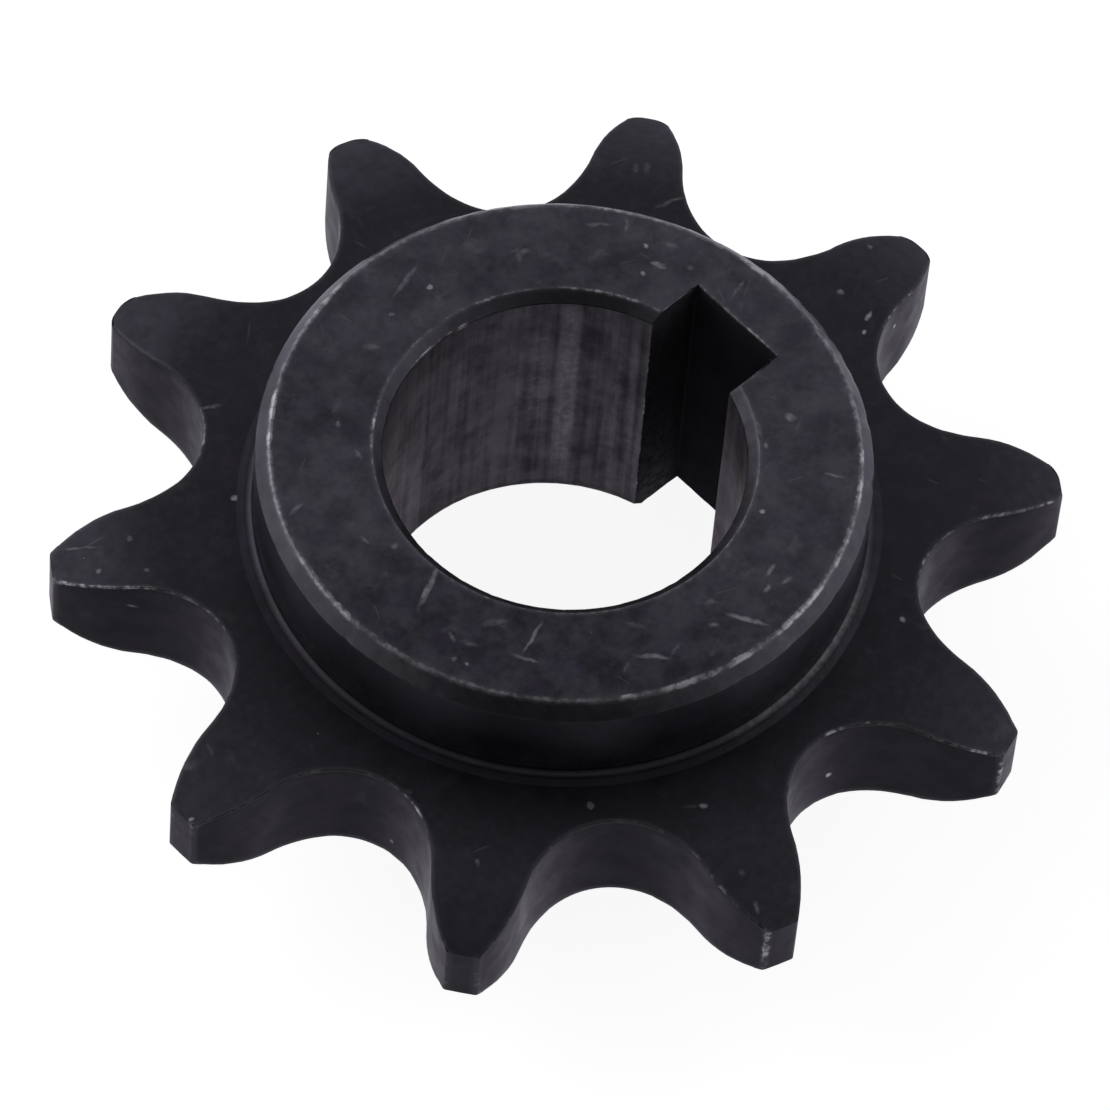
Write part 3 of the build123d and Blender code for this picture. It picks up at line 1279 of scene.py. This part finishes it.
FINISHES = {
    # Hobbed gaps: near black, with fine upright cutter lines and bare steel on the corners, and two faint
    # painted reflections on the flanks.
    Surface.FLANK: BlackOxideSteel(
        "black_oxide_hobbed_steel", "131215", "0c0c0d", skin_roughness=0.44, patch_size=1.6,
        grain_size=0.42, grain_depth=1.5, tinge="1b1820", rubbed_radii=(19.5, 17.2), crest_radius=22.95,
        edge_floor=0.2, edge_places=RUBBED_EDGES, scuff_size=1.6, scuff_share=0.03, nick_spacing=3.4,
        nick_radius=0.08, tool_marks=(ToolMarks(0.3, (0.15, 0.15, 1.0), 0.3),), marks=FLANK_MARKS_AND_REFLECTIONS,
    ),
    # The faced plate: a soft, even blue-black that greys towards the teeth, where it is handled. Broad
    # painted shade darkens it on the right tooth, the back-right tooth and in front of the hub.
    Surface.PLATE: BlackOxideSteel(
        "black_oxide_plate_steel", "36353c", "2b2a2f", grain_size=0.42, grain_depth=1.5, tinge="3a3542",
        skin_roughness=0.48, rubbed_radii=(17.0, 20.5), edge_floor=0.2, edge_places=RUBBED_EDGES,
        scuff_size=1.4, scuff_share=0.06, hairline_angles=(18.0, 75.0, 131.0), hairline_share=0.002,
        nick_spacing=3.4, nick_radius=0.09, marks=PLATE_MARKS, stains_and_shade=PLATE_STAINS_AND_SHADE,
    ),
    # The low step: a dark even band, with painted shade along its front left and a faint painted highlight
    # on its right front.
    Surface.FOOT: BlackOxideSteel(
        "black_oxide_step_steel", "2f2e33", "26252a",
        marks=(Mark(13.8, 2.9, 102, 18.0, 3.0, 0.05, 11.0, 3.0),),
        stains_and_shade=(Mark(-5.0, -13.7, 160, 26.0, 3.0, 1.0, 11.0, 3.0),),
    ),
    # The fillet: a thin curved line of sheen where the wall meets the step, brightened on its right front
    # by a painted highlight.
    Surface.FILLET: BlackOxideSteel(
        "black_oxide_fillet_steel", "363539", "2a292d", marks=FILLET_PAINTED_HIGHLIGHT
    ),
    # The turned wall: the dullest of the turned faces, so it reads darker than the face above. Painted
    # light lightens its foot all round, and a painted highlight its right front.
    Surface.HUB_WALL: BlackOxideSteel(
        "black_oxide_hub_wall_steel", "35343a", "2a282e", skin_roughness=0.62, marks=WALL_PAINTED_LIGHT,
    ),
    # The chamfer: the glossiest skin, scuffed, with a ragged bright rim.
    Surface.HUB_CHAMFER: BlackOxideSteel(
        "black_oxide_chamfer_steel", "49484e", "37363a", skin_roughness=0.34, patch_size=1.2,
        scuff_size=0.8, scuff_share=0.1, edge_places=RUBBED_RIMS, marks=CHAMFER_MARKS,
        stains_and_shade=(Mark(6.0, 12.4, 154, 10.0, 2.4, 0.7, 15.6, 3.0),),
    ),
    # The faced end: mottled grey-black, full of small scratches and dents that glint. Painted shade darkens
    # the half nearest the camera, and a faint painted light runs along its back rim.
    Surface.HUB_FACE: BlackOxideSteel(
        "black_oxide_turned_steel", "4b4a52", "2a292e", tinge_share=0.4, patch_size=1.4, scuff_size=1.2,
        scuff_share=0.13, hairline_angles=(12.0, 68.0, 118.0, 155.0), nick_spacing=2.6,
        nick_radius=0.11, edge_places=RUBBED_RIMS, marks=FACE_MARKS_AND_LIGHT,
        stains_and_shade=(
            # The first darkens the half of the end face nearest the camera as painted shade.
            Mark(8.0, -9.0, 42, 30.0, 14.0, 0.75),
            Mark(-7.6, 6.0, 52, 12.0, 3.4, 0.45),
            Mark(-9.3, -6.5, 35, 8.0, 4.0, 0.4),
        ),
    ),
    # The bore's chamfer: a plain thin skin, a little lighter than the wall below it.
    Surface.BORE_CHAMFER: BlackOxideSteel(
        "black_oxide_bore_chamfer_steel", "3e3d42", "2e2d33", edge_floor=0.06, edge_places=RUBBED_RIMS,
    ),
    # The broached bore: brownish skin in light and dark streaks along the tool's travel, with a painted
    # shadow darkening it just above the floor.
    Surface.BORE: BlackOxideSteel(
        "black_oxide_broached_steel", "46434a", "232227", skin_roughness=0.5, patch_size=1.3,
        tool_marks=(
            ToolMarks(0.4, (1.0, 1.0, 0.02), 0.7),
            ToolMarks(1.1, (1.0, 1.0, 0.06), 0.6),
            ToolMarks(1.6, (0.5, 0.5, 1.0), 0.3),
        ),
        tinge="464048", grazing_tint="dad5da", edge_floor=0.06, edge_places=RUBBED_RIMS,
        marks=BORE_MARKS, stains_and_shade=BORE_STAINS_AND_SHADE,
    ),
    # The keyway: dull skin with a dark grazing tint, painted shade that keeps the slot nearly black, and a
    # painted light band on its -X wall.
    Surface.KEYWAY: BlackOxideSteel(
        "black_oxide_keyway_steel", "323135", "28272b", skin_roughness=0.75, grazing_tint="2c2a30",
        # A painted light band on the keyway's -X wall.
        marks=(Mark(-2.5, 9.0, 0, 0.5, 3.6, 0.2, 9.0, 40.0),),
    ),
}


def main() -> None:
    """Builds the camera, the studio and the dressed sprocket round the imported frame."""
    logging.basicConfig(level=logging.INFO, format="%(name)s: %(message)s")
    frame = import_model()
    mounts = {mount["name"]: mount for mount in frame["record"]["mounts"]}
    low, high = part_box(NODE)
    chain = mounts["chain_line"]["dims"]
    form = ToothForm(chain["count"], chain["pcd_mm"] / 2, high[1] / MM)
    bore = KeyedBore(form, mounts["bore"]["dims"]["r_mm"])
    camera = StillCamera()
    LOG.info("placed %s", camera.build().name)
    studio = Studio(camera.azimuth)
    studio.build()
    LOG.info("built the studio with %d softboxes", len(studio.softboxes))
    sprocket = Sprocket(form, bore, (high[2] - low[2]) / MM).build()
    LOG.info("built %s with %d faces", sprocket.name, len(sprocket.data.polygons))
    bpy.context.scene.view_settings.view_transform = "Standard"


if __name__ == "__main__":
    main()
